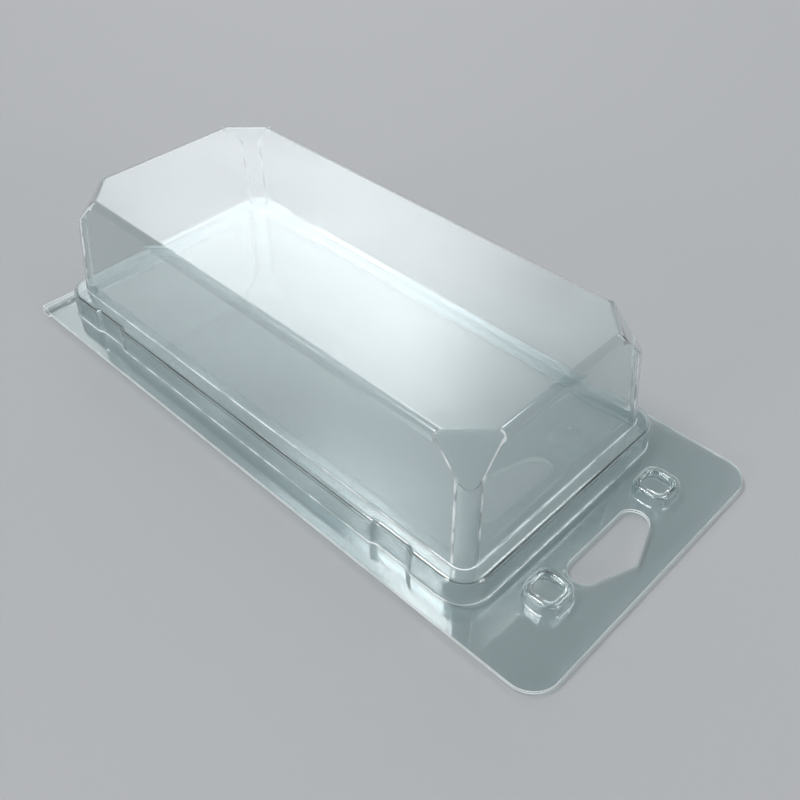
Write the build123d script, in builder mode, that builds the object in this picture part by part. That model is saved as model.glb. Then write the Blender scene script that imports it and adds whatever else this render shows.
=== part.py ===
from build123d import *

import os
from math import atan, degrees

# Clear plastic clamshell pack, closed. All sizes are in millimetres.
# One sheet, formed flat and folded over at the short end away from the hang hole, makes a front
# shell with the tall display dome and a back shell that plugs into the step around the dome's foot.
# X runs along the pack from the fold to the header, Y across it and Z up out of the back.
# The origin is under the middle of the pack, at the lowest point of the fold's lower bead.

# Sheet
sheet = 0.5            # thickness of the formed sheet
layer_gap = 0.3        # space between the closed front and back layers
least_edge = 0.3       # an inner edge whose rounding comes out smaller than this stays sharp

# Flange, shared by both shells
pack_length = 214.0    # folded edge to header edge
pack_width = 100.0
header_corner_r = 8.0

# Fold beads, one on each shell
bead_width = 4.5       # folded edge to the foot of the bead's slope
bead_slope = 1.2       # run of the slope down to the flange
bead_height = 1.1      # how far a bead stands out of its flange
bead_r = 0.9           # rounding along the bead

# Step ring around the foot of the dome
bead_valley = 1.1      # flat between the bead and the ring's foot
side_margin = 6.5      # long edge to the ring's foot
header_depth = 27.3    # ring's foot to header edge
step_height = 8.4      # top of the ledge above the front flange
step_draft = 0.025     # run of the step's wall for each millimetre of rise
step_corner_r = 8.6
step_edge_r = 1.4      # rounding of the ledge's outer edge

# Snap pockets pressed into the long walls of the step, near both ends
pocket_length = 13.4
pocket_depth = 0.9
pocket_from_end = 26.5  # end of the ring to the middle of a pocket
pocket_swing = 1.6     # extra length of the plug's pockets towards the fold, so the front swings clear

# Dome
ledge_width = 4.5      # ledge between the step's edge and the dome's wall
dome_height = 45.4     # top of the dome above the front flange
dome_draft = 0.08      # run of the dome's wall for each millimetre of rise
dome_corner_r = 5.2    # at the foot, less further up because of the draft
dome_edge_r = 2.8      # rounding around the flat top
facet_cut = 12.4       # how much of each side a corner facet takes at the top
facet_drop = 11.9      # top of the dome to the lower tip of a facet

# Snap buttons on the header
button_size = 11.6
button_height = 4.2
button_draft = 0.05
button_corner_r = 3.2
button_bevel = 0.9     # slope around the top, measured along the wall
button_from_edge = 16.5  # header edge to the middle of a button
button_spacing = 49.2
button_rim = 2.0       # width of the raised rim around the dished top
button_dish = 0.9      # depth of the dish

# Hang hole, a straight side with round ends that rise to a blunt peak
hole_length = 31.6
hole_height = 13.5
hole_end_r = 4.6
hole_peak_r = 0.7
hole_from_edge = 5.7   # header edge to the peak

# Levels and places worked out from the sizes above
back_bottom = bead_height
back_top = back_bottom + sheet
fold_z = back_top + layer_gap / 2
front_bottom = back_top + layer_gap
front_top = front_bottom + sheet
end_x = -pack_length / 2
header_x = pack_length / 2
ring_start = end_x + bead_width + bead_valley
ring_length = header_x - header_depth - ring_start
ring_width = pack_width - 2 * side_margin
ring_x = ring_start + ring_length / 2
dome_rise = dome_height - step_height
button_x = header_x - button_from_edge
plug_inset = sheet + layer_gap
cut_margin = 5.0       # how far a cutting shape runs past what it cuts


def rounded_frustum(place, length, width, corner_r, low, high, lean, datum, inset):
    """Drafted block with rounded corners. Its sizes hold at the level datum, less inset all round."""
    with BuildPart() as block:
        with BuildSketch(Plane.XY.offset(low)):
            with Locations(place):
                RectangleRounded(length - 2 * inset, width - 2 * inset, corner_r - inset)
        extrude(amount=high - low)
        walls = block.faces().filter_by(lambda f: abs(f.normal_at().Z) < 0.5)
        draft(walls, Plane.XY.offset(datum), degrees(atan(lean)))
    return block.part


def step_block(inset, floor):
    """The step ring's outline as a solid lump, inset from the front's outer skin."""
    with BuildPart() as block:
        add(rounded_frustum((ring_x, 0), ring_length, ring_width, step_corner_r, floor,
                            front_top + step_height - inset, step_draft, front_top, inset))
        if step_edge_r - inset > least_edge:
            fillet(block.faces().sort_by(Axis.Z)[-1].edges(), step_edge_r - inset)
    return block.part


def pocket_cutter(inset, level, swing):
    """The four snap pockets as cutting blocks, made longer towards the fold by swing."""
    wall_y = ring_width / 2 - pocket_depth - inset
    pocket_x = ring_length / 2 - pocket_from_end
    depth = pocket_depth + inset + cut_margin
    with BuildPart() as cutter:
        with BuildSketch(Plane.XY.offset(level)):
            for side in (-1, 1):
                with Locations((ring_x - pocket_x - swing / 2, side * (wall_y + depth / 2)),
                               (ring_x + pocket_x - swing / 2, side * (wall_y + depth / 2))):
                    Rectangle(pocket_length + 2 * inset + swing, depth)
        extrude(amount=step_height + cut_margin)
    return cutter.part


def dome_block(inset, floor):
    """The dome's outline as a solid lump, inset from the outer skin, with its corner facets."""
    top = front_top + dome_height - inset
    ledge = front_top + step_height
    length = ring_length - 2 * ledge_width
    width = ring_width - 2 * ledge_width
    shrink = dome_draft * dome_rise
    mid_cut = facet_cut / 2
    tip_rise = dome_draft * (dome_rise - facet_drop)
    tip = tip_rise + (dome_corner_r - tip_rise) * (1 - 0.5 ** 0.5)
    with BuildPart() as block:
        add(rounded_frustum((ring_x, 0), length, width, dome_corner_r, floor, top,
                            dome_draft, ledge, inset))
        for end in (-1, 1):
            for side in (-1, 1):
                upper = Vector(ring_x + end * (length / 2 - shrink - mid_cut),
                               side * (width / 2 - shrink - mid_cut), front_top + dome_height)
                lower = Vector(ring_x + end * (length / 2 - tip),
                               side * (width / 2 - tip), front_top + dome_height - facet_drop)
                along = Vector(-end * side, 1, 0)
                facet = Plane(origin=upper, x_dir=along, z_dir=along.cross(lower - upper))
                outward = Vector(end, side, 0)
                keep = Keep.BOTTOM if facet.z_dir.dot(outward) > 0 else Keep.TOP
                shift = -inset if keep == Keep.BOTTOM else inset
                split(bisect_by=facet.offset(shift), keep=keep)
        fillet(block.faces().sort_by(Axis.Z)[-1].edges(), dome_edge_r - inset)
    return block.part


def button_block(side, inset, floor):
    """One snap button as a solid lump, inset from the front's outer skin, with its dished top."""
    top = front_top + button_height - inset
    place = (button_x, side * button_spacing / 2)
    dish_size = button_size - 2 * (button_draft * button_height + button_rim - inset)
    with BuildPart() as block:
        add(rounded_frustum(place, button_size, button_size, button_corner_r, floor, top,
                            button_draft, front_top, inset))
        bevel = button_bevel - (2 - 2 ** 0.5) * inset
        if bevel > least_edge:
            chamfer(block.faces().sort_by(Axis.Z)[-1].edges(), bevel)
        with BuildSketch(Plane.XY.offset(top)):
            with Locations(place):
                RectangleRounded(dish_size, dish_size, button_corner_r / 2 + inset)
        extrude(amount=-button_dish, mode=Mode.SUBTRACT)
    return block.part


def flange_plate():
    """The front shell's flat sheet with the bead along its fold, before anything is formed into it."""
    bead_top = front_top + bead_height
    with BuildPart() as plate:
        with BuildSketch(Plane.XZ):
            with BuildLine():
                FilletPolyline((end_x, front_bottom),
                               (end_x, bead_top),
                               (end_x + bead_width - bead_slope, bead_top),
                               (end_x + bead_width, front_top),
                               (header_x, front_top),
                               radius=bead_r)
                offset(amount=sheet, side=Side.RIGHT)
            make_face()
        extrude(amount=pack_width / 2, both=True)
        header = plate.edges().filter_by(Axis.Z).group_by(Axis.X)[-1]
        fillet(header, header_corner_r)
    return plate.part


def hang_hole():
    """The hang hole's outline as a cutting block through both headers."""
    peak_x = header_x - hole_from_edge
    end_x = peak_x - hole_height + hole_end_r
    end_y = hole_length / 2 - hole_end_r
    with BuildPart() as cutter:
        with BuildSketch(Plane.XY.offset(-cut_margin)):
            with Locations((end_x, -end_y), (end_x, end_y)):
                Circle(hole_end_r)
            with Locations((peak_x - hole_peak_r, 0)):
                Circle(hole_peak_r)
            make_hull()
        extrude(amount=front_top + 2 * cut_margin)
    return cutter.part


def slab(level):
    """A thin slab with its top at a level, as large as the flange without its bead."""
    start = ring_start - bead_valley / 2
    with BuildPart() as block:
        with BuildSketch(Plane.XY.offset(level)):
            with Locations(((start + header_x) / 2, 0)):
                Rectangle(header_x - start, pack_width)
        extrude(amount=-sheet)
    return block.part


def formed_block(base, level, inset, has_dome):
    """A base with everything that is formed out of its face at a level.

    Inset is the distance in from the front's outer skin, so each skin of the two shells is made
    by the same shapes, and the spaces between the skins stay even.
    """
    floor = level - sheet
    with BuildPart() as block:
        add(step_block(inset, floor))
        if has_dome:
            add(dome_block(inset, floor))
        add(base)
        for side in (-1, 1):
            add(button_block(side, inset, floor))
        add(pocket_cutter(inset, level, 0 if has_dome else pocket_swing), mode=Mode.SUBTRACT)
    return block.part


# Front shell: the dome, its step and the hollow buttons drawn up out of the flange
with BuildPart() as front_shell:
    add(formed_block(flange_plate(), front_top, 0, True))
    add(formed_block(slab(front_bottom), front_bottom, sheet, True), mode=Mode.SUBTRACT)
    add(hang_hole(), mode=Mode.SUBTRACT)

# Back shell: the same flange turned over, with a raised plug that fits inside the step
with BuildPart() as back_shell:
    flange = mirror(flange_plate(), about=Plane.XY.offset(fold_z))
    add(formed_block(flange, back_top, plug_inset, False))
    add(formed_block(slab(back_bottom), back_bottom, plug_inset + sheet, False), mode=Mode.SUBTRACT)
    add(hang_hole(), mode=Mode.SUBTRACT)

os.makedirs("parts", exist_ok=True)
front_shell.part.label = "front_shell"
export_step(front_shell.part, "parts/front_shell.step")
back_shell.part.label = "back_shell"
export_step(back_shell.part, "parts/back_shell.step")
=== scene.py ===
# %% [markdown]
# # A folded clamshell pack in clear sheet
#
# One sheet of clear plastic is softened, drawn over a mould and folded double. The front half
# has a tall dome with cut corners, standing on a step. The back half has a plug that fits inside
# the step. We load the measured model first, because it says where each half is and how it turns.

# %% Load the measured model
import math

import bmesh
import bpy
import numpy as np
from mathutils import Matrix, Vector


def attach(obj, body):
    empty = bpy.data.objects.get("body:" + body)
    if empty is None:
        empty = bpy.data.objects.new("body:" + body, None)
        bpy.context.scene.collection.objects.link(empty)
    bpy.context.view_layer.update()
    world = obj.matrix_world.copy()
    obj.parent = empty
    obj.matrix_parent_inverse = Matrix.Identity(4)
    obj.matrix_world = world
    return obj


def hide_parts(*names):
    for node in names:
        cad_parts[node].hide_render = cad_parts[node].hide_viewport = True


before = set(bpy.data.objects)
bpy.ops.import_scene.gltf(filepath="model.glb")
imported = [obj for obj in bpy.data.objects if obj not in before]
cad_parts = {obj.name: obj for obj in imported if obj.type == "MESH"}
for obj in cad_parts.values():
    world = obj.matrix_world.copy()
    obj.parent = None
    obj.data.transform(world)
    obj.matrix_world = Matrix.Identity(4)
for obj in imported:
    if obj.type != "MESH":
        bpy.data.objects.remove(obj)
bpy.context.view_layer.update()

# %% [markdown]
# ## Sizes
#
# All sizes are those of the real pack in millimetres. Each is written once, where it is first
# needed, and the surfaces are worked out from them. Blender works in metres, so a mesh is scaled
# as it is made. We start with the sheet and the levels that it lies at.

# %% Sheet and levels
MM = 0.001
SHEET = 0.5
LAYER_GAP = 0.3         # space between the closed front and back
PACK_LENGTH = 214.0
PACK_WIDTH = 100.0
BEAD_HEIGHT = 1.1       # the bead along the fold, under the back and on top of the front
END_X = -PACK_LENGTH / 2
HEADER_X = PACK_LENGTH / 2
BACK_TOP = BEAD_HEIGHT + SHEET
FRONT_TOP = BACK_TOP + LAYER_GAP + SHEET
FOLD_Z = BACK_TOP + LAYER_GAP / 2
PLUG_INSET = SHEET + LAYER_GAP
print("front face of the flange at", round(FRONT_TOP, 3), "mm")

# %% [markdown]
# ## Rounded profiles
#
# A thermoformed sheet has no sharp bends: it stretches over each edge of the mould with a small
# radius. A Bevel modifier could round a sharp shape, but it gives way where several bends run
# together, as at the dome's corners. So every section is a broken line whose corners we turn into
# arcs ourselves. A row close to each end of an arc keeps the flat areas flat in a smooth-shaded
# mesh.

# %% Profile helper
ARM_SHARE = 0.2         # such a row takes no more than this share of the flat beside its arc


def rounded_profile(points, radii, steps=7, support=0.12):
    """Stations along a broken line with its corners rounded.

    An arc of radius r touches both arms at r * tan(turn / 2) from the corner. Its centre lies
    at the first touching point plus r times the arm's normal, towards the inside of the bend.
    Returns the stations as rows of (outwards, up) and the unit normal of each station.
    """
    corners = np.array(points, float)
    arms = np.diff(corners, axis=0)
    lengths = np.linalg.norm(arms, axis=1)
    arms /= lengths[:, None]
    left = np.stack([-arms[:, 1], arms[:, 0]], axis=1)
    stations, normals = [corners[:1]], [left[:1]]
    for i, r in enumerate(radii):
        a, b, corner = arms[i], arms[i + 1], corners[i + 1]
        turn = math.atan2(a[0] * b[1] - a[1] * b[0], a @ b)
        reach = abs(r * math.tan(turn / 2))
        side = math.copysign(1, turn)
        centre = corner - a * reach + side * r * left[i]
        angle = np.linspace(0, turn, steps + 1)[:, None]
        spoke = -side * (np.cos(angle) * left[i] - np.sin(angle) * a)
        near = min(support, ARM_SHARE * (lengths[i] - reach), ARM_SHARE * (lengths[i + 1] - reach))
        stations += [[corner - a * (reach + near)], centre + r * spoke,
                     [corner + b * (reach + near)]]
        normals += [left[i:i + 1], -side * spoke, left[i + 1:i + 2]]
    stations.append(corners[-1:])
    normals.append(left[-1:])
    return np.concatenate(stations), np.concatenate(normals)


print("a rounded corner has", len(rounded_profile([(0, 1), (0, 0), (1, 0)], [0.2])[0]), "stations")

# %% [markdown]
# ## Outlines round a corner
#
# Seen from above, each level of the pack is a rectangle with round corners, and near the dome's
# top each corner is also cut by a slanted flat, the facet. The facets could be cut off with a
# boolean, but its stray small faces would show as flaws in a mirroring sheet. Here one function
# gives all the outlines, each with the same number of points, so the rows join into a clean grid.

# %% Stations of an outline
RING_START = -101.4
RING_LENGTH = 181.1
RING_WIDTH = 87.0
RING_X = RING_START + RING_LENGTH / 2
STEP_CORNER_R = 8.6
POCKET_LENGTH = 13.4
POCKET_FROM_END = 26.5
POCKET_X = RING_LENGTH / 2 - POCKET_FROM_END
POCKET_START = POCKET_X - POCKET_LENGTH / 2
POCKET_END = POCKET_X + POCKET_LENGTH / 2
CORNER_START = RING_LENGTH / 2 - STEP_CORNER_R

# Stations of half a long side, as shares of the way to its corner. They stand close together
# where a pocket's wall bends, and the last one keeps clear of the corner's rounding.
pocket_slope = np.linspace(-1.1, 2.0, 12)
pocket_floor = np.linspace(-4.2, 4.2, 4)
slope_lead, wall_lead, corner_lead = 1.6, 3.0, 0.75
side_stops = np.concatenate([
    np.linspace(0, POCKET_START - wall_lead, 8), [POCKET_START - slope_lead],
    POCKET_START + pocket_slope, POCKET_X + pocket_floor, POCKET_END - pocket_slope[::-1],
    [POCKET_END + slope_lead],
    np.linspace(POCKET_END + wall_lead, CORNER_START - corner_lead, 3)]) / CORNER_START
end_stops = np.concatenate([np.linspace(0, 0.96, 9), [0.979]])
ARC = np.linspace(0, 1, 8)      # along a corner's arc, up to the facet
FAN = np.linspace(0, 1, 5)      # round a facet's edge
FLAT = np.array([0.0, 0.04, 0.5, 0.96, 1.0])    # across a facet
print("a long side has", 2 * len(side_stops) - 1, "stations and an end", 2 * len(end_stops) - 1)

# %% Quarter outline
EIGHTH_TURN = math.pi / 4
FACET_LEAD = 2.0        # where a facet meets the flat walls, stations run this far ahead of it
NO_FACET = 1e3          # a facet this far out cuts nothing


def quarter_outline(half_length, half_width, corner_r, facet_reach, edge_r):
    """One quarter of an outline, from the middle of the end to the middle of the long side.

    The outline is first made smaller by edge_r. There the corner is an arc about
    (half_length - corner_r, half_width - corner_r), and the facet is the line at facet_reach
    along the diagonal. Near the dome's top it meets the straight sides, further down the arc.
    Each point is then moved out by edge_r along its own normal, and where the arc and the facet
    meet the normal fans round, which gives the rounded facet edge.
    """
    length, width = half_length - edge_r, half_width - edge_r
    radius = corner_r - edge_r
    centre_x, centre_y = half_length - corner_r, half_width - corner_r
    cut = facet_reach - edge_r
    ratio = (cut - (centre_x + centre_y) / math.sqrt(2)) / radius
    meets_side = ratio < math.sqrt(0.5)
    arc_end = np.where(ratio > math.sqrt(0.5), EIGHTH_TURN - np.arccos(np.clip(ratio, -1, 1)), 0.0)
    edge_x = np.where(meets_side, length, centre_x + radius * np.cos(arc_end))
    edge_y = np.where(meets_side, math.sqrt(2) * cut - length, centre_y + radius * np.sin(arc_end))
    far_x = np.where(meets_side, math.sqrt(2) * cut - width, centre_x + radius * np.sin(arc_end))
    far_y = np.where(meets_side, width, centre_y + radius * np.cos(arc_end))
    lead = np.where(meets_side, np.minimum(FACET_LEAD, 0.5 * (centre_y - edge_y)), 0.0)
    start_x = np.where(meets_side, far_x - lead, centre_x)
    start_y = np.where(meets_side, edge_y - lead, centre_y)
    rows = np.ones_like(length)
    turn = rows * ARC * arc_end
    far_turn = rows * (1 - ARC) * arc_end
    fan_turn = arc_end + (EIGHTH_TURN - arc_end) * FAN
    parts = {
        "end": (length + 0 * end_stops, start_y * end_stops, 0 * rows * end_stops),
        "arc": (np.where(meets_side, length, centre_x + radius * np.cos(turn)),
                np.where(meets_side, edge_y - lead * (1 - ARC), centre_y + radius * np.sin(turn)),
                turn),
        "fan": (edge_x + 0 * fan_turn, edge_y + 0 * fan_turn, fan_turn),
        "facet": (edge_x + (far_x - edge_x) * FLAT, edge_y + (far_y - edge_y) * FLAT,
                  EIGHTH_TURN + 0 * rows * FLAT),
        "far fan": (far_x + 0 * fan_turn, far_y + 0 * fan_turn,
                    math.pi / 2 - fan_turn[..., ::-1]),
        "far arc": (np.where(meets_side, far_x - lead * ARC, centre_x + radius * np.sin(far_turn)),
                    np.where(meets_side, width, centre_y + radius * np.cos(far_turn)),
                    math.pi / 2 - far_turn),
        "side": (start_x * side_stops[::-1], width + 0 * rows * side_stops,
                 math.pi / 2 + 0 * rows * side_stops)}
    x, y, angle = (np.concatenate(values, axis=-1) for values in zip(*parts.values()))
    return x + edge_r * np.cos(angle), y + edge_r * np.sin(angle), angle


def full_loop(x, y, *more):
    """Four quarters joined into one closed loop, counter-clockwise. The quarter is mirrored
    about Y, then X, and points that lie on a mirror line are used once."""
    x2 = np.concatenate([x, -x[..., -2::-1], -x[..., 1:], x[..., -2:0:-1]], axis=-1)
    y2 = np.concatenate([y, y[..., -2::-1], -y[..., 1:], -y[..., -2:0:-1]], axis=-1)
    rest = [np.concatenate([m, m[..., -2::-1], m[..., 1:], m[..., -2:0:-1]], axis=-1) for m in more]
    return [x2, y2] + rest


# %% Faces beside a corner
PLAIN, CORNER_STRIP, FACET_SIDE = 0, 1, 2
SIDE_FACES = 3          # how many of the four faces of a fan are a facet's rounded side


def column_kinds():
    """For each face of a row, whether it is a narrow strip beside a corner's rounding, part of a
    facet's rounded side, or neither. A quarter's kinds are mirrored as its points are."""
    arc = len(end_stops)
    fan = arc + len(ARC)
    far_fan = fan + len(FAN) + len(FLAT)
    far_arc = far_fan + len(FAN)
    quarter = np.full(far_arc + len(ARC) + len(side_stops) - 1, PLAIN)
    quarter[[arc - 1, far_arc + len(ARC) - 1]] = CORNER_STRIP
    quarter[fan:fan + SIDE_FACES] = FACET_SIDE
    quarter[far_fan + 1:far_fan + 1 + SIDE_FACES] = FACET_SIDE
    return np.concatenate([quarter, quarter[::-1], quarter, quarter[::-1]])


face_kinds = column_kinds()
print("each row of the formed surface is a ring of", len(face_kinds), "faces")

# %% [markdown]
# ## Clear sheet
#
# The pack is clear, so its look is made of reflections, of bends in what lies behind it, and of
# a faint grey-green where much sheet lies along the view. It could be one thin skin that is
# partly see-through, but two clear layers and their gap look right only with true thickness.
# For shadows, and for light that the floor scatters, the sheet counts as nearly transparent,
# because light that bends through it would otherwise have to be found by chance.
#
# Drawing leaves marks in a sheet, a haze that comes and goes and a fine waviness. They are a node
# group of their own, because a mark is the same in any material it is put into.

# %% Node helper
def add_node(tree, kind, values=(), operation=None):
    """A new shader node of a kind. Values are pairs of an input's name or number and what it is
    set to, and operation is for the nodes that calculate."""
    node = tree.nodes.new("ShaderNode" + kind)
    if operation:
        node.operation = operation
    for socket, value in values:
        node.inputs[socket].default_value = value
    return node


# %% Forming marks
def draw_marks_group():
    """A node group with the forming marks of a drawn sheet: a haze mask that varies slowly, and
    a fine waviness to bend reflections."""
    group = bpy.data.node_groups.new("draw_marks", "ShaderNodeTree")
    group.interface.new_socket("Vector", in_out="INPUT", socket_type="NodeSocketVector")
    group.interface.new_socket("Haze", in_out="OUTPUT", socket_type="NodeSocketFloat")
    group.interface.new_socket("Wave", in_out="OUTPUT", socket_type="NodeSocketFloat")
    start, end = group.nodes.new("NodeGroupInput"), group.nodes.new("NodeGroupOutput")
    for mark, scale, detail in (("Haze", 28.0, 4.0), ("Wave", 14.0, 1.0)):
        noise = add_node(group, "TexNoise", [("Scale", scale), ("Detail", detail)])
        group.links.new(start.outputs["Vector"], noise.inputs["Vector"])
        group.links.new(noise.outputs["Fac"], end.inputs[mark])
    return group


draw_marks = draw_marks_group()
print("node group", draw_marks.name, "has", len(draw_marks.nodes), "nodes")

# %% Clear sheet material
SHEET_IOR = 1.57


def new_material(name, values):
    """A material of a name, its node tree and its shader, with some of the shader's inputs set."""
    material = bpy.data.materials.new(name)
    material.use_nodes = True
    shader = material.node_tree.nodes["Principled BSDF"]
    for socket, value in values:
        shader.inputs[socket].default_value = value
    return material, material.node_tree, shader


def clear_sheet_material(name, tint, shadow_tint):
    """Clear sheet: a rough-edged gloss with full transmission, bent a little by the waviness."""
    material, tree, shader = new_material(
        name, [("Base Color", (*tint, 1)), ("Transmission Weight", 1.0), ("IOR", SHEET_IOR)])
    link = tree.links.new
    place = add_node(tree, "TexCoord")
    marks = add_node(tree, "Group")
    marks.node_tree = draw_marks
    link(place.outputs["Object"], marks.inputs["Vector"])
    rough = add_node(tree, "MapRange", [("From Min", 0.35), ("From Max", 0.7),
                                        ("To Min", 0.02), ("To Max", 0.09)])
    link(marks.outputs["Haze"], rough.inputs["Value"])
    link(rough.outputs["Result"], shader.inputs["Roughness"])
    bump = add_node(tree, "Bump", [("Strength", 0.35), ("Distance", 0.002)])
    link(marks.outputs["Wave"], bump.inputs["Height"])
    link(bump.outputs["Normal"], shader.inputs["Normal"])
    paths = add_node(tree, "LightPath")
    straight = add_node(tree, "Math", operation="MAXIMUM")
    link(paths.outputs["Is Shadow Ray"], straight.inputs[0])
    link(paths.outputs["Is Diffuse Ray"], straight.inputs[1])
    through = add_node(tree, "BsdfTransparent", [("Color", (*shadow_tint, 1))])
    mix = add_node(tree, "MixShader")
    link(straight.outputs["Value"], mix.inputs["Fac"])
    link(shader.outputs["BSDF"], mix.inputs[1])
    link(through.outputs["BSDF"], mix.inputs[2])
    link(mix.outputs["Shader"], tree.nodes["Material Output"].inputs["Surface"])
    return material


clear_sheet = clear_sheet_material("clear_sheet", (0.86, 0.90, 0.905), (0.91, 0.935, 0.935))
print("material", clear_sheet.name, "has", len(clear_sheet.node_tree.nodes), "nodes")

# %% [markdown]
# ## White lines
#
# Where a clear sheet is cut or sharply drawn it turns cloudy, and these narrow faces are the pale
# lines that show the pack's shape. On the drawn creases the white is also a painted highlight: it
# stands in for the glints along the rounded edges and corners. They could be painted as a mask on
# the clear material. Here they are faces with materials of their own, since the mesh already knows
# where they lie.

# %% White line materials
def white_line_material(name, clearness, faint, full):
    """Whitened plastic for narrow faces, where the sheet was cut or sharply drawn: partly cloudy
    and partly clear, its colour going from faint to full and back along the line. On the drawn
    creases the white is also a painted highlight, broken into patches as a glint along an edge is."""
    material, tree, shader = new_material(
        name, [("Transmission Weight", clearness), ("IOR", SHEET_IOR), ("Roughness", 0.3)])
    place = add_node(tree, "TexCoord")
    patches = add_node(tree, "TexNoise", [("Scale", 160.0), ("Detail", 3.0)])
    tree.links.new(place.outputs["Object"], patches.inputs["Vector"])
    whiteness = add_node(tree, "ValToRGB")
    for step, position, colour in zip(whiteness.color_ramp.elements, (0.4, 0.56), (faint, full)):
        step.position = position
        step.color = (*colour, 1)
    tree.links.new(patches.outputs["Fac"], whiteness.inputs["Fac"])
    tree.links.new(whiteness.outputs["Color"], shader.inputs["Base Color"])
    return material


SHEET_MATERIALS = [
    clear_sheet,
    # The crease's pale grey to near white is whitened plastic and also a painted highlight along
    # the dome's edges
    white_line_material("crease_white_and_highlight", 0.3, (0.42, 0.47, 0.48), (0.94, 0.98, 1.0)),
    white_line_material("cut_edge", 0.0, (0.78, 0.82, 0.83), (0.92, 0.96, 0.97))]
CLEAR, CREASE_HIGHLIGHT, CUT = 0, 1, 2
print("the sheet's materials:", [material.name for material in SHEET_MATERIALS])

# %% [markdown]
# ## From rows to a sheet
#
# A grid of points becomes quads between neighbouring rows. Several grids that share their
# border points are merged into one open surface. A second skin inside it could be worked out in
# the same way, but the Solidify modifier measures a thickness square to the surface by itself, as
# a formed sheet has it.

# %% Grids of faces
def grid_faces(rows, columns, closed):
    """Quads of a grid numbered row by row. Row r, column c is joined to row r + 1 and column
    c + 1, and in a closed grid the last column is joined to the first."""
    r, c = np.meshgrid(np.arange(rows - 1), np.arange(columns if closed else columns - 1),
                       indexing="ij")
    after = (c + 1) % columns
    quads = [r * columns + c, (r + 1) * columns + c, (r + 1) * columns + after, r * columns + after]
    return np.stack(quads, axis=-1).reshape(-1, 4)


print("a closed grid of 3 by 4 points has", len(grid_faces(3, 4, True)), "faces")

# %% Joined surface
MERGE_DISTANCE = 2e-6   # metres
ZERO_LENGTH = 1e-7


def flat_fill(rings):
    """A flat mesh between closed rings of points in one plane. The first ring is the outer
    border and the rest are holes."""
    mesh = bpy.data.meshes.new("border")
    places, edges = [], []
    for ring in rings:
        first, count = len(places), len(ring)
        places += (ring * MM).tolist()
        edges += [(first + i, first + (i + 1) % count) for i in range(count)]
    mesh.from_pydata(places, edges, [])
    flat = bmesh.new()
    flat.from_mesh(mesh)
    bmesh.ops.remove_doubles(flat, verts=flat.verts, dist=MERGE_DISTANCE)
    bmesh.ops.triangle_fill(flat, edges=flat.edges, use_beauty=True, normal=(0, 0, 1))
    flat.to_mesh(mesh)
    flat.free()
    return mesh


def joined_surface(grids, rings):
    """One surface from several grids of (x, y, z) points in millimetres, merged where they meet,
    and from rings of points in one plane, with the area between them filled flat.

    Each grid is (points, closed), and where some faces get another material also their
    material numbers, one for each face.
    """
    work = bmesh.new()
    for points, closed, *slots in grids:
        mesh = bpy.data.meshes.new("patch")
        faces = grid_faces(*points.shape[:2], closed)
        mesh.from_pydata((points.reshape(-1, 3) * MM).tolist(), [], faces.tolist())
        if slots:
            mesh.polygons.foreach_set("material_index", slots[0].ravel())
        work.from_mesh(mesh)
        bpy.data.meshes.remove(mesh)
    bmesh.ops.remove_doubles(work, verts=work.verts, dist=MERGE_DISTANCE)
    mesh = flat_fill(rings)
    work.from_mesh(mesh)
    bpy.data.meshes.remove(mesh)
    bmesh.ops.remove_doubles(work, verts=work.verts, dist=MERGE_DISTANCE)
    bmesh.ops.dissolve_degenerate(work, edges=work.edges, dist=ZERO_LENGTH)
    bmesh.ops.recalc_face_normals(work, faces=work.faces)
    highest = max(work.faces, key=lambda f: f.calc_center_median().z)
    if highest.normal.z < 0:
        bmesh.ops.reverse_faces(work, faces=work.faces)
    return work


# %% Thickness and cut edges
CUT_SOFTNESS = 0.07     # how wide the cut edges are rounded
CUT_ANGLE = 70          # degrees, only the cut edges turn by more
SHARP_ANGLE = 32        # degrees, bends that turn by less are shaded smooth


def finished_sheet(name, work):
    """The open surface as an object with the sheet's thickness on its inner side, cut edges
    softened, and its shading sharp only at the cut edges."""
    mesh = bpy.data.meshes.new(name)
    work.to_mesh(mesh)
    open_edges = sum(e.is_boundary for e in work.edges)
    work.free()
    for material in SHEET_MATERIALS:
        mesh.materials.append(material)
    sheet = bpy.data.objects.new(name, mesh)
    bpy.context.scene.collection.objects.link(sheet)
    thickness = sheet.modifiers.new("thickness", "SOLIDIFY")
    thickness.thickness = SHEET * MM
    thickness.offset = -1
    thickness.use_even_offset = True
    thickness.use_quality_normals = True
    thickness.material_offset_rim = CUT
    soft = sheet.modifiers.new("cut_edge", "BEVEL")
    soft.width = CUT_SOFTNESS * MM
    soft.segments = 1
    soft.limit_method = "ANGLE"
    soft.angle_limit = math.radians(CUT_ANGLE)
    depsgraph = bpy.context.evaluated_depsgraph_get()
    solid = bpy.data.meshes.new_from_object(sheet.evaluated_get(depsgraph))
    sheet.modifiers.clear()
    sheet.data = solid
    solid.name = name
    solid.shade_smooth()
    solid.set_sharp_from_angle(angle=math.radians(SHARP_ANGLE))
    solid.calc_loop_triangles()
    print(name, "has", len(solid.loop_triangles), "triangles;", open_edges, "cut edges")
    return sheet


# %% [markdown]
# ## The dome
#
# From the middle of the flat top outwards, the surface runs over the rounded top edge and down
# the leaning wall. Each of these is a band of rows. The rows of the top edge differ in height
# round the loop, because the wall and the facet lean by different angles, and the facet runs out
# in a point part of the way down. Level rows would cross that point's sides at a slant and leave
# teeth in the reflections, so the rows close in on it.

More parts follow.
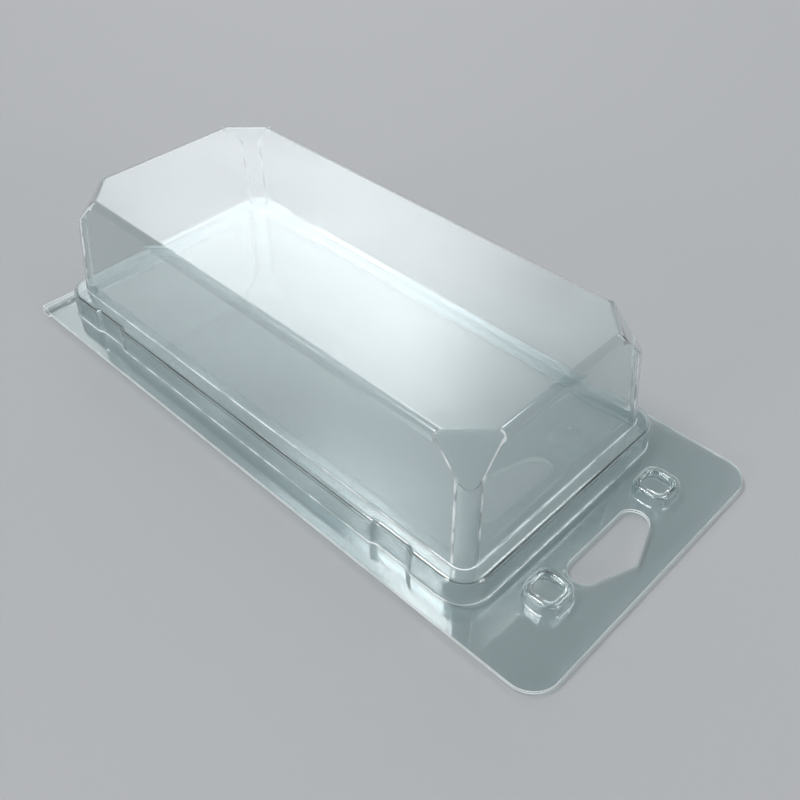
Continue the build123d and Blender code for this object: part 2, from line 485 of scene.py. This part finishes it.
# %% Wall and facet
STEP_HEIGHT = 8.4
LEDGE_WIDTH = 4.5
DOME_HEIGHT = 45.4
DOME_DRAFT = 0.08       # how far the wall leans for each millimetre of height
DOME_CORNER_R = 5.2     # at the foot of the measured dome
CORNER_BAND_R = 4.3     # here, at every height
FACET_CUT = 12.4        # how much of each side a facet takes at the top
FACET_DROP = 11.9       # from the top to the facet's lower tip
TOP_Z = FRONT_TOP + DOME_HEIGHT
LEDGE_Z = FRONT_TOP + STEP_HEIGHT
TIP_Z = TOP_Z - FACET_DROP
HALF_L = RING_LENGTH / 2 - LEDGE_WIDTH
HALF_W = RING_WIDTH / 2 - LEDGE_WIDTH
# From a sharp corner to the middle of its rounding, x + y falls by this share of the radius
ROUNDING_SHARE = 2 - math.sqrt(2)


def wall_size(z):
    """Half length, half width and corner radius of the dome at a height. The halves shrink by
    the draft for each millimetre above the ledge, and the radius stays."""
    run = DOME_DRAFT * (z - LEDGE_Z)
    return HALF_L - run, HALF_W - run, CORNER_BAND_R + 0 * run


def facet_line(z):
    """How far along the diagonal the facet lies. It is a slanted plane, so this runs straight
    from the cut at the top to the middle of the corner's rounding at the facet's tip."""
    top_l, top_w, _ = wall_size(TOP_Z)
    tip_l, tip_w, _ = wall_size(TIP_Z)
    tip_r = DOME_CORNER_R - DOME_DRAFT * (TIP_Z - LEDGE_Z)
    at_top = (top_l + top_w - FACET_CUT) / math.sqrt(2)
    at_tip = (tip_l + tip_w - ROUNDING_SHARE * tip_r) / math.sqrt(2)
    return at_top + (at_tip - at_top) * (TOP_Z - z) / FACET_DROP


def facet_end():
    """The height where a facet runs out on its corner's rounding. Seen along the diagonal both
    are straight, so the gap between them shrinks evenly, and here it is zero."""
    gaps = []
    for z in (TOP_Z, TIP_Z):
        l, w, r = wall_size(z)
        gaps.append((l + w - ROUNDING_SHARE * r) / math.sqrt(2) - facet_line(z))
    return TOP_Z - FACET_DROP * gaps[0] / (gaps[0] - gaps[1])


FACET_END_Z = facet_end()
print("dome top at", round(TOP_Z, 3), "mm, facets down to", round(FACET_END_Z, 3), "mm")

# %% Rounded top edge
DOME_EDGE_R = 2.8
FACET_EDGE_R = 1.0
CAP_LEAD = 0.15         # the flat top's last row lies this far inside the rounding
cap_shrink = np.array([0.0, 0.2, 0.45, 0.7, 0.9])[:, None]      # rows of a flat top


def top_edge_rows():
    """Rows of the rounding between the flat top and the wall, after one row of the flat top.

    The row number is a fraction f. A point there has turned by f times (90 degrees - lean),
    where lean is the wall's angle, or the facet's on the facet. Also returns the heights where a
    quarter's columns reach the wall.
    """
    wall_lean = math.atan(DOME_DRAFT)
    facet_lean = math.atan((facet_line(TIP_Z) - facet_line(TOP_Z)) / FACET_DROP)
    wall_reach = DOME_EDGE_R * math.tan((math.pi / 2 - wall_lean) / 2)
    facet_reach = DOME_EDGE_R * math.tan((math.pi / 2 - facet_lean) / 2)
    f = np.concatenate([[0.0], np.linspace(0, 1, 10)])[:, None]
    wall_turn = f * (math.pi / 2 - wall_lean)
    facet_turn = f * (math.pi / 2 - facet_lean)
    lead = np.zeros_like(f)
    lead[0] = CAP_LEAD
    l, w, r = wall_size(TOP_Z)
    shift = DOME_EDGE_R * np.sin(wall_turn) - wall_reach - lead
    reach = facet_line(TOP_Z) + DOME_EDGE_R * np.sin(facet_turn) - facet_reach - lead
    x, y, angle = quarter_outline(l + shift, w + shift, r + 0 * f, reach, FACET_EDGE_R + 0 * f)
    on_facet = np.clip(1 - np.abs(angle - EIGHTH_TURN) / EIGHTH_TURN, 0, 1) ** 0.5
    turn = wall_turn + (facet_turn - wall_turn) * on_facet
    z = TOP_Z - DOME_EDGE_R * (1 - np.cos(turn))
    return full_loop(x, y, z), z[-1:]


print("the top's rounded edge has", len(top_edge_rows()[0][2]), "rows")

# %% Dome
FOOT_R = 0.5            # rounding where a wall stands on the ledge or the flange
WALL_END = LEDGE_Z + FOOT_R * 1.2       # just above that rounding
# The wall's rows: shares of the way up from the facets' end, and the levels below it
beside_facet = np.concatenate([[0.985], np.linspace(0.95, 0.1, 14) ** 1.6, [0.007]])[:, None]
below_facet = np.concatenate([FACET_END_Z - np.array([0.06, 0.25, 0.5]),
                              np.linspace(FACET_END_Z - 1.1, WALL_END, 6)])[:, None]


def wall_rows(start):
    """Rows of the wall, from the heights where the columns leave the rounded edge down to just
    above the ledge. At first they close in on the facets' end, and below it they are level.

    The columns of a row can have different heights. So a whole outline is worked out for each
    column's height, and the column takes its own point of it, on the diagonal of the result.
    """
    z = np.concatenate([FACET_END_Z + (start - FACET_END_Z) * beside_facet,
                        below_facet * np.ones_like(start)])
    x, y = [], []
    for row in z:
        level = row[:, None]
        reach = np.where(level > FACET_END_Z, facet_line(level), NO_FACET)
        px, py, _ = quarter_outline(*wall_size(level), reach, np.full_like(level, FACET_EDGE_R))
        x.append(np.diagonal(px))
        y.append(np.diagonal(py))
    return full_loop(np.array(x), np.array(y), z)


def dome_rows():
    """Rows of the flat top, which is the top edge's first row made smaller, of the top edge and
    of the wall. Returns their x, y and z."""
    edge, start = top_edge_rows()
    cap = [edge[0][:1] * cap_shrink, edge[1][:1] * cap_shrink]
    cap.append(np.full_like(cap[0], TOP_Z))
    return [np.concatenate(parts) for parts in zip(cap, edge, wall_rows(start))]


dome_x, dome_y, dome_z = dome_rows()
print("the dome has", len(dome_z), "rows")

# %% [markdown]
# ## The step
#
# Outside the dome's wall the surface crosses the ledge, turns over the step's edge and runs down
# to the flange. Near its ends each long wall is pressed in a little, and these pockets snap over
# those of the back. They could be cut as boxes, but a drawn sheet only changes softly along a
# wall, so the wall's own points are moved in.

# %% Snap pockets
POCKET_DEPTH = 0.9
POCKET_SWING = 1.6      # the back's pockets are this much longer towards the fold
POCKET_RAMP = 2.8       # length of the change between the wall and a pocket
POCKET_LEAD = 0.35      # share of the change that lies outside the pocket's length


def pocket_shape(x, swing=0.0):
    """1 over a snap pocket and 0 away from it. Between them runs the soft step
    t * t * (3 - 2 * t)."""
    def ramp(inside):
        t = np.clip(inside / POCKET_RAMP + POCKET_LEAD, 0, 1)
        return t * t * (3 - 2 * t)
    local = x - RING_X
    far = np.minimum(ramp(local - (POCKET_START - swing)), ramp(POCKET_END - local))
    near = np.minimum(ramp(local + POCKET_END + swing), ramp(-local - POCKET_START))
    return np.maximum(far, near)


print("pressed in at a pocket's middle and at the wall's:", pocket_shape(RING_X + POCKET_X),
      pocket_shape(RING_X))

# %% Step
STEP_DRAFT = 0.025
STEP_EDGE_R = 1.4
PLAIN_EDGE_R = 0.2      # an outline without facets is moved out by this along its normals
POCKET_REACH = 2.2      # rows up to this far in from the step's foot are pressed in
FORMED_END = 0.62       # the formed rows end this far outside the step's foot
HAIR = 0.01             # slack where places are compared


def step_rows(profile, start_r, inset, swing):
    """Rows of everything outside the dome's wall, from a profile of (outwards from the step's
    foot, height). The corner radius grows as the outline grows, from start_r at the first row,
    and the long walls are pressed in by the pockets."""
    out, z = profile[:, :1], profile[:, 1:2]
    along = (out - out[0]) / (out[-1] - out[0])
    radius = start_r + (STEP_CORNER_R + out[-1] - start_r) * along
    x, y, _ = quarter_outline(RING_LENGTH / 2 + out, RING_WIDTH / 2 + out, radius,
                              np.full_like(out, NO_FACET), np.full_like(out, PLAIN_EDGE_R))
    x, y = full_loop(x, y)
    x = x + RING_X
    on_side = np.abs(x - RING_X) < CORNER_START + HAIR
    pressed = (out > -inset - POCKET_REACH) & (out < out[-1] - HAIR)
    y = y - np.sign(y) * POCKET_DEPTH * on_side * pressed * pocket_shape(x, swing)
    return x, y, z + 0 * x


front_profile, _ = rounded_profile(
    [(-LEDGE_WIDTH - DOME_DRAFT * (WALL_END - LEDGE_Z), WALL_END), (-LEDGE_WIDTH, LEDGE_Z),
     (-STEP_DRAFT * STEP_HEIGHT, LEDGE_Z), (0, FRONT_TOP), (FORMED_END, FRONT_TOP)],
    [FOOT_R, STEP_EDGE_R, FOOT_R])
step_x, step_y, step_z = step_rows(front_profile, CORNER_BAND_R, 0.0, 0.0)
print("the step has", len(step_z), "rows")

# %% [markdown]
# ## The flange and its bead
#
# Outside the step's foot the sheet is flat. A ring of flat quads takes it to a rectangle, which
# fits the bead along the fold. The bead could be a bevelled curve laid on the fold, but a clear
# sheet shows every joint. So it is one section carried straight along, at the flange's own
# stations, and the two are merged.

# %% Flange and bead
BEAD_WIDTH = 4.5
BEAD_SLOPE = 1.2
BEAD_R = 0.9
FLANGE_END = END_X + BEAD_WIDTH + 0.4   # the bead's section begins here
HEADER_START = RING_START + RING_LENGTH + 1.5
CORNER_RUN = 9.0        # how much of an end's line the points of a corner's arc share
CORNER_SHARE = 0.1      # the same on a long edge, as a share of it


def flange_rows(x, y, z):
    """Flat rows from the last formed row to a rectangle. A point of the last row that faces an
    end goes to that end's line, and one that faces a side goes to the pack's long edge."""
    half_y = PACK_WIDTH / 2
    corner = np.ones(2 * len(FAN) + len(FLAT))
    px = np.concatenate([1 + 0 * end_stops, 1 + 0 * ARC, corner, 1 - ARC * CORNER_SHARE,
                         side_stops[::-1] * (1 - CORNER_SHARE)])
    py = np.concatenate([end_stops * (half_y - CORNER_RUN), half_y - CORNER_RUN * (1 - ARC),
                         half_y * corner, half_y + 0 * ARC, half_y + 0 * side_stops])
    bx, by = full_loop(px, py)
    bx = RING_X + bx * np.where(bx > 0, HEADER_START - RING_X, RING_X - FLANGE_END)
    t = np.array([0.0, 0.5, 1.0])[:, None]
    return x[-1] * (1 - t) + bx * t, y[-1] * (1 - t) + by * t, np.full((len(t), len(bx)), z)


def bead_grid(profile, edge_y):
    """The bead as its section carried straight along the fold, at the flange's own stations."""
    x, z = profile[:, 0], profile[:, 1]
    return np.stack(np.broadcast_arrays(x[:, None], edge_y[None, :], z[:, None]), axis=-1)


bead_top = FRONT_TOP + BEAD_HEIGHT
bead_slope_end = END_X + BEAD_WIDTH - BEAD_SLOPE
front_bead, bead_normals = rounded_profile(
    [(FLANGE_END, FRONT_TOP), (END_X + BEAD_WIDTH, FRONT_TOP), (bead_slope_end, bead_top),
     (END_X, bead_top), (END_X, FRONT_TOP - SHEET)],
    [BEAD_R, BEAD_R, BEAD_R])
print("the bead's section has", len(front_bead), "stations")

# %% [markdown]
# ## Buttons, hang hole and header
#
# A button is a small drawn square with a dished top. It is stacked from rounded squares, because
# each of its levels is one. The header around the buttons is flat. The hang hole could be cut
# out of it with a boolean, but it is easier to fill the area between the border and the holes.

# %% Snap buttons
BUTTON_SIZE = 11.6
BUTTON_HEIGHT = 4.2
BUTTON_CORNER_R = 3.2
BUTTON_X = 90.5
BUTTON_Y = 24.6
BUTTON_RIM = 2.0
BUTTON_DISH = 0.9       # depth
BUTTON_LEAN = 0.2       # how far the outer wall leans in on its way up
DISH_LEAN = 0.12        # half of how far the dish's wall leans
DISH_GROWTH = 0.55      # how much wider the dish is for each millimetre further in
DISH_FOOT_R = 0.35
DISH_EDGE_R = 0.45
DISH_EDGE_SHARE = 0.4   # the most of the rim's width that this rounding takes
BUTTON_EDGE_R = 0.9
BUTTON_EDGE_SHARE = 0.55
LEAST_EDGE_R = 0.3
BUTTON_FOOT_FLAT = 0.5  # flat around the rounding of the foot
SIDE_SHARE = 0.9        # how much of a square's straight side lies between its extra points


def square_loop(half, corner_r, centre, z):
    """A square with round corners about a centre: points of a circle of corner_r, moved out to
    the corner's own centre, with extra points close to both ends of each straight side. The
    four corners are one, turned to (c * x - s * y, s * x + c * y)."""
    angle = np.linspace(0, math.pi / 2, 7)
    side = half - corner_r
    x = np.concatenate([[half], side + corner_r * np.cos(angle), [side * SIDE_SHARE]])
    y = np.concatenate([[side * SIDE_SHARE], side + corner_r * np.sin(angle), [half]])
    corners = [(c * x - s * y, s * x + c * y) for c, s in ((1, 0), (0, 1), (-1, 0), (0, -1))]
    x, y = (np.concatenate(part) for part in zip(*corners))
    return np.stack([x + centre[0], y + centre[1], np.full_like(x, z)], axis=-1)


def button_grid(side, inset, flange_z):
    """A snap button as stacked rounded squares: the dish's floor, its wall, the raised rim, the
    outer wall and the foot. Inset is the distance in from the front's outer skin."""
    top = FRONT_TOP + BUTTON_HEIGHT - inset
    outer = BUTTON_SIZE / 2 - inset
    dish = BUTTON_SIZE / 2 - BUTTON_RIM - BUTTON_LEAN + inset * DISH_GROWTH
    rim = outer - BUTTON_LEAN - (dish + DISH_LEAN)
    rows, _ = rounded_profile(
        [(0.0, top - BUTTON_DISH), (dish - DISH_LEAN, top - BUTTON_DISH), (dish + DISH_LEAN, top),
         (outer - BUTTON_LEAN, top), (outer, flange_z),
         (outer + FOOT_R + inset + BUTTON_FOOT_FLAT, flange_z)],
        [DISH_FOOT_R, min(DISH_EDGE_R, DISH_EDGE_SHARE * rim),
         min(max(BUTTON_EDGE_R - inset, LEAST_EDGE_R), BUTTON_EDGE_SHARE * rim), FOOT_R],
        steps=5, support=0.06)
    # The corners' radius at the middle, the dish's wall, the outer wall and 2 mm outside it,
    # and never more than 0.8 of a square's half size
    corner_radii = [0.1, BUTTON_CORNER_R / 2 + 0.7, BUTTON_CORNER_R + 0.5 - inset,
                    BUTTON_CORNER_R - inset + 2]
    corner = np.interp(rows[:, 0], [0, dish, outer, outer + 2], corner_radii)
    corner = np.minimum(corner, rows[:, 0] * 0.8)
    return np.array([square_loop(half, r, (BUTTON_X, side * BUTTON_Y), z)
                     for (half, z), r in zip(rows, corner)])


print("a button has", len(button_grid(1, 0.0, FRONT_TOP)), "rows")

# %% Hang hole and header
HOLE_LENGTH = 31.6
HOLE_HEIGHT = 13.5
HOLE_END_R = 4.6
HOLE_PEAK_R = 0.7
HOLE_PEAK_X = 101.3
HEADER_CORNER_R = 8.0


def hole_loop(z):
    """The hang hole from its support function: for each direction, the outline point is the
    farthest one among two end circles and a small peak circle."""
    base = HOLE_PEAK_X - HOLE_HEIGHT + HOLE_END_R
    half = HOLE_LENGTH / 2 - HOLE_END_R
    centres = np.array([[base, -half], [base, half], [HOLE_PEAK_X - HOLE_PEAK_R, 0.0]])
    radii = np.array([HOLE_END_R, HOLE_END_R, HOLE_PEAK_R])
    angle = np.linspace(0, 2 * math.pi, 120, endpoint=False)
    direction = np.stack([np.cos(angle), np.sin(angle)], axis=-1)
    farthest = np.argmax(direction @ centres.T + radii, axis=1)
    outline = centres[farthest] + radii[farthest, None] * direction
    return np.concatenate([outline, np.full((len(angle), 1), z)], axis=1)


def header_border(z, edge_y):
    """The header's outer border, from the flange's last points round both rounded corners."""
    r, angle = HEADER_CORNER_R, np.linspace(0, math.pi / 2, 13)
    centre_x, centre_y = HEADER_X - r, PACK_WIDTH / 2 - r
    x = np.concatenate([np.full(len(edge_y), HEADER_START), centre_x + r * np.sin(angle),
                        centre_x + r * np.cos(angle)])
    y = np.concatenate([np.sort(edge_y)[::-1], -centre_y - r * np.cos(angle),
                        centre_y + r * np.sin(angle)])
    return np.stack([x, y, np.full_like(x, z)], axis=-1)


print("the hang hole is", np.ptp(hole_loop(0.0), axis=0).round(2), "mm")

# %% [markdown]
# ## The front shell
#
# All of its bands are worked out by now. They are merged, and the drawn creases are marked: on a
# real pack the sheet turns white where a facet meets the walls, beside the corners' roundings and
# along the foot of a wall. This white is also a painted highlight for the glints along these edges,
# and on the facets' sides it runs up into the top's rounding to end in a painted white spot at each
# facet's top corner.

# %% A shell's skin
# Heights of the whitened crease faces, which are partly painted highlights: on the facets' sides up
# into the top's rounding, and in the middle of each foot's rounding
CORNER_CREASE_END = FACET_END_Z + 2.0
FACET_CREASE_START = FACET_END_Z + 1.9
FACET_CREASE_END = TOP_Z - 0.12 * DOME_EDGE_R
FOOT_CREASE = 0.1 * FOOT_R, 0.35 * FOOT_R


def crease_highlight_faces(z, feet):
    """The material of each formed face. Between the ledge and the dome's top, the strips beside
    the corners and the facets' sides are creases, and so is the middle of the rounding where a
    wall stands on one of the levels in feet. A crease gets the whitened material, which also
    paints the highlight of those edges."""
    level = ((z[1:] + z[:-1]) / 2).min(axis=1)[:, None]
    on_corner = (level > LEDGE_Z + FOOT_R) & (level < CORNER_CREASE_END)
    on_facet = (level > FACET_CREASE_START) & (level < FACET_CREASE_END)
    creased = (on_corner & (face_kinds == CORNER_STRIP)) | (on_facet & (face_kinds == FACET_SIDE))
    for foot in feet:
        creased |= (level > foot + FOOT_CREASE[0]) & (level < foot + FOOT_CREASE[1])
    return np.where(creased, CREASE_HIGHLIGHT, CLEAR)


def shell_surface(formed, flange_z, inset, bead_profile, feet=()):
    """A shell's skin: formed rows, flat flange, bead, two buttons and the header."""
    flange_x, flange_y, flat_z = flange_rows(formed[0], formed[1], flange_z)
    at_fold = flange_x[-1] < FLANGE_END + HAIR
    at_header = flange_x[-1] > HEADER_START - HAIR
    fold_y, head_y = (np.unique(np.round(flange_y[-1][at], 4)) for at in (at_fold, at_header))
    buttons = [button_grid(side, inset, flange_z) for side in (-1, 1)]
    grids = [(np.stack(formed, axis=-1), True, crease_highlight_faces(formed[2], feet)),
             (np.stack([flange_x, flange_y, flat_z], axis=-1), True),
             (bead_grid(bead_profile, fold_y), False)]
    rings = [header_border(flange_z, head_y), hole_loop(flange_z)] + [b[-1] for b in buttons]
    return joined_surface(grids + [(b, True) for b in buttons], rings)


print("the dome has", np.count_nonzero(crease_highlight_faces(dome_z, ())), "creased faces")

# %% Front shell
front_rows = [np.concatenate([dome_x[:-1] + RING_X, step_x]), np.concatenate([dome_y[:-1], step_y]),
              np.concatenate([dome_z[:-1], step_z])]
front = finished_sheet(
    "front_sheet", shell_surface(front_rows, FRONT_TOP, 0.0, front_bead, (LEDGE_Z, FRONT_TOP)))

# %% [markdown]
# ## The back shell
#
# Its plug is the step's outline again, one sheet and one gap further in, with a flat top. Its
# bead hangs down instead of standing up, so that section is turned over and moved to the
# sheet's other face.

# %% Back shell
PLUG_FLAT = 6.0         # width of the plug's outermost flat rows
PLUG_FLAT_R = STEP_CORNER_R - 6.5       # corner radius of the innermost of them
plug_top = LEDGE_Z - PLUG_INSET
back_profile, _ = rounded_profile(
    [(-PLUG_INSET - PLUG_FLAT, plug_top), (-PLUG_INSET - STEP_DRAFT * STEP_HEIGHT, plug_top),
     (-PLUG_INSET, BACK_TOP), (FORMED_END, BACK_TOP)],
    [STEP_EDGE_R - PLUG_INSET, FOOT_R + PLUG_INSET])
plug_x, plug_y, plug_z = step_rows(back_profile, PLUG_FLAT_R, PLUG_INSET, POCKET_SWING)
plug_cap_x = RING_X + (plug_x[:1] - RING_X) * cap_shrink
back_rows = [np.concatenate([plug_cap_x, plug_x]),
             np.concatenate([plug_y[:1] * cap_shrink, plug_y]),
             np.concatenate([np.full_like(plug_cap_x, plug_top), plug_z])]
lower_face = np.stack([front_bead[:, 0], 2 * FOLD_Z - front_bead[:, 1]], axis=1)
upper_face = lower_face + SHEET * bead_normals * [1, -1]
back = finished_sheet("back_sheet", shell_surface(back_rows, BACK_TOP, PLUG_INSET, upper_face))

# %% [markdown]
# ## In place of the measured shells
#
# The measured shells could be shown themselves, but they lack the small roundings that catch the
# light. So each sheet stands for its measured shell, and moves with it when the pack is opened.

# %% Places
for sheet, node, body in ((front, "front_shell", "front"), (back, "back_shell", "back")):
    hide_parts(node)
    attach(sheet, body)
    print(sheet.name, "stands for", node, "and moves with", body)

# %% [markdown]
# ## Floor
#
# A pale matt floor stands in for the studio table. When the pack is opened, its dome turns over
# and hangs below the fold, where a table would stop it. The floor could lie far below at every
# pose, but then the closed pack would hang in the air. So Blender's Floor constraint keeps it
# just below two markers at the ends of the dome's top, whichever way they go.

# %% Floor
FLOOR_HALF = 3.0        # metres
MARKER_GAP = 0.2


def make_floor():
    """A square floor in a plain pale grey at the level that the pack stands on."""
    mesh = bpy.data.meshes.new("floor")
    corners = [(-1, -1), (1, -1), (1, 1), (-1, 1)]
    mesh.from_pydata([(FLOOR_HALF * x, FLOOR_HALF * y, 0) for x, y in corners], [], [(0, 1, 2, 3)])
    floor = bpy.data.objects.new("floor", mesh)
    bpy.context.scene.collection.objects.link(floor)
    material, _, _ = new_material(
        "floor_grey", [("Base Color", (0.355, 0.365, 0.375, 1)), ("Roughness", 0.6)])
    mesh.materials.append(material)
    return floor


def keep_under(floor, name, place, body):
    """The floor stays below a marker at a place, in millimetres, that moves with a body."""
    marker = bpy.data.objects.new(name, None)
    bpy.context.scene.collection.objects.link(marker)
    marker.empty_display_size = MARKER_GAP * MM
    marker.location = Vector(place) * MM
    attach(marker, body)
    hold = floor.constraints.new("FLOOR")
    hold.target = marker
    hold.floor_location = "FLOOR_NEGATIVE_Z"


floor = make_floor()
for end, name in ((-1, "fold_marker"), (1, "header_marker")):
    keep_under(floor, name, (RING_X + end * HALF_L, 0, TOP_Z + MARKER_GAP), "front")
print("the floor is held under", [hold.target.name for hold in floor.constraints])

# %% [markdown]
# ## Lamps
#
# Area lamps beside the pack would leave bright pools on the floor, so the lamps are sun lamps,
# very far and as wide as studio boxes. Two low ones light the upright edges from both sides, and
# two high ones draw a thin glint along the rounded edges. At the photograph's angle no single
# flat face mirrors a lamp. The front one is seen only by way of two: the near strip of the flange
# sends it on to the wall beside it, and shines as the strip in the photograph does.

# %% Lamps
def direction_to(azimuth, elevation):
    """The unit vector towards a place in the sky, from its two angles in degrees."""
    turn, rise = math.radians(azimuth), math.radians(elevation)
    return Vector((math.cos(rise) * math.cos(turn), math.cos(rise) * math.sin(turn),
                   math.sin(rise)))


def soft_light(name, azimuth, elevation, power, spread=16.0):
    """A wide, very far lamp, so that it lights the whole floor evenly. Power is what a surface
    that faces it gets, in watts per square metre, and spread is how wide it looks, in degrees."""
    lamp = bpy.data.lights.new(name, "SUN")
    lamp.energy = power
    lamp.angle = math.radians(spread)
    lamp_object = bpy.data.objects.new(name, lamp)
    bpy.context.scene.collection.objects.link(lamp_object)
    lamp_object.location = direction_to(azimuth, elevation)
    lamp_object.rotation_euler = lamp_object.location.to_track_quat("Z", "Y").to_euler()
    print(name, "gives", power, "W per square metre")


soft_light("left_light", 262, 18, 0.8)
soft_light("right_light", 8, 18, 0.95)
soft_light("back_light", 90, 59, 0.35)
soft_light("front_light", 229, 60, 2.0, 17.0)

# %% [markdown]
# ## Sky of the studio
#
# A clear sheet shows little but what it mirrors, so the room's brightness is drawn with care. It
# could be a set of glowing panels around the pack, but a formula for the sky costs nothing to
# render and leaves no hard edges. It is pale near the floor and dim overhead, with soft bright
# patches behind the pack. The wide one is mirrored by the dome's flat top and gives it its milky
# sheen, and the strong small one by the flange. Two more widen the sheen towards the top's near
# and far corners, and a low one brightens the dome's far edge.

# %% Patches of the sky
def soft_patch(tree, direction, azimuth, elevation, spread_across, spread_up):
    """A bright patch of the sky: exp(-(a / spread_across)^2 - (b / spread_up)^2), where a and b are
    how far a direction leans away from the patch's middle, sideways and upwards. It is zero on
    the half of the sky that faces away."""
    link = tree.links.new
    turn, rise = math.radians(azimuth), math.radians(elevation)
    middle = direction_to(azimuth, elevation)
    across = (-math.sin(turn) / spread_across, math.cos(turn) / spread_across, 0)
    upwards = (-math.sin(rise) * math.cos(turn) / spread_up,
               -math.sin(rise) * math.sin(turn) / spread_up, math.cos(rise) / spread_up)
    offset = add_node(tree, "CombineXYZ")
    for vector, axis in ((across, "X"), (upwards, "Y")):
        lean = add_node(tree, "VectorMath", [(1, vector)], "DOT_PRODUCT")
        link(direction, lean.inputs[0])
        link(lean.outputs["Value"], offset.inputs[axis])
    square = add_node(tree, "VectorMath", operation="DOT_PRODUCT")
    link(offset.outputs["Vector"], square.inputs[0])
    link(offset.outputs["Vector"], square.inputs[1])
    fade = add_node(tree, "Math", [(0, math.exp(-1))], "POWER")
    link(square.outputs["Value"], fade.inputs[1])
    facing = add_node(tree, "VectorMath", [(1, middle)], "DOT_PRODUCT")
    link(direction, facing.inputs[0])
    front_half = add_node(tree, "Math", [(1, 0.0)], "GREATER_THAN")
    link(facing.outputs["Value"], front_half.inputs[0])
    patch = add_node(tree, "Math", operation="MULTIPLY")
    link(fade.outputs["Value"], patch.inputs[0])
    link(front_half.outputs["Value"], patch.inputs[1])
    return patch.outputs["Value"]


# %% World
HORIZON, OVERHEAD, DIM_HEIGHT = 0.4, 0.24, 0.4
SKY_PATCHES = (         # azimuth, elevation, spread across, spread up, and strength
    (139, 33, 0.28, 0.165, 3.1),
    (138, 50, 0.10, 0.08, 5.0),
    (133, 40, 0.09, 0.075, 1.4),
    (151, 30, 0.10, 0.10, 0.5),
    (128, 10, 0.55, 0.13, 0.45))


def studio_world():
    """The sky's strength: a smooth fall from the horizon upwards, plus each patch times its own
    strength."""
    world = bpy.data.worlds.new("studio")
    bpy.context.scene.world = world
    world.use_nodes = True
    tree = world.node_tree
    link = tree.links.new
    direction = add_node(tree, "TexCoord").outputs["Generated"]
    height = add_node(tree, "SeparateXYZ")
    link(direction, height.inputs["Vector"])
    base = add_node(tree, "MapRange", [("From Min", 0.0), ("From Max", DIM_HEIGHT),
                                       ("To Min", HORIZON), ("To Max", OVERHEAD)])
    base.interpolation_type = "SMOOTHSTEP"
    link(height.outputs["Z"], base.inputs["Value"])
    total = base.outputs["Result"]
    for *place, strength in SKY_PATCHES:
        add = add_node(tree, "Math", [(1, strength)], "MULTIPLY_ADD")
        link(soft_patch(tree, direction, *place), add.inputs[0])
        link(total, add.inputs[2])
        total = add.outputs["Value"]
    backdrop = tree.nodes["Background"]
    backdrop.inputs["Color"].default_value = (0.97, 0.98, 1.0, 1)
    link(total, backdrop.inputs["Strength"])
    print("the sky has", len(SKY_PATCHES), "patches and", len(tree.nodes), "nodes")


studio_world()

# %% [markdown]
# ## Camera
#
# The camera could be placed by eye, but small errors of its angle would change what the flat top
# mirrors. So it was found by fitting the pack's corners to the photograph.
#
# A look through the closed pack crosses many faces of the two sheets, and light that is given up
# on too early leaves black lines along the edges. So it is followed through 24 bounces.

# %% Camera
CAMERA_RIGHT = (0.7199, 0.694, 0.0049)
CAMERA_UP = (-0.4751, 0.4877, 0.7325)
CAMERA_AHEAD = (-0.506, 0.5296, -0.6808)
CAMERA_PLACE = (0.16124, -0.15283, 0.20146)
BOUNCES = 24


def photo_camera():
    """The camera at the photograph's place. The columns of its matrix are its right, its up, the
    way back from where it looks, and its place."""
    camera_data = bpy.data.cameras.new("camera")
    camera_data.sensor_width = 36.0
    camera_data.lens = 42.63
    camera_data.clip_start = 0.01
    camera = bpy.data.objects.new("camera", camera_data)
    bpy.context.scene.collection.objects.link(camera)
    columns = zip(CAMERA_RIGHT, CAMERA_UP, CAMERA_AHEAD, CAMERA_PLACE)
    rows = [(right, up, -ahead, place) for right, up, ahead, place in columns]
    camera.matrix_world = Matrix(rows + [(0, 0, 0, 1)])
    bpy.context.scene.camera = camera
    print("the camera is", round(Vector(CAMERA_PLACE).length, 3), "m from the pack's middle")


photo_camera()
paths = bpy.context.scene.cycles
paths.max_bounces = paths.transmission_bounces = BOUNCES
paths.glossy_bounces = paths.transparent_max_bounces = BOUNCES
bpy.context.scene.view_settings.view_transform = "Standard"
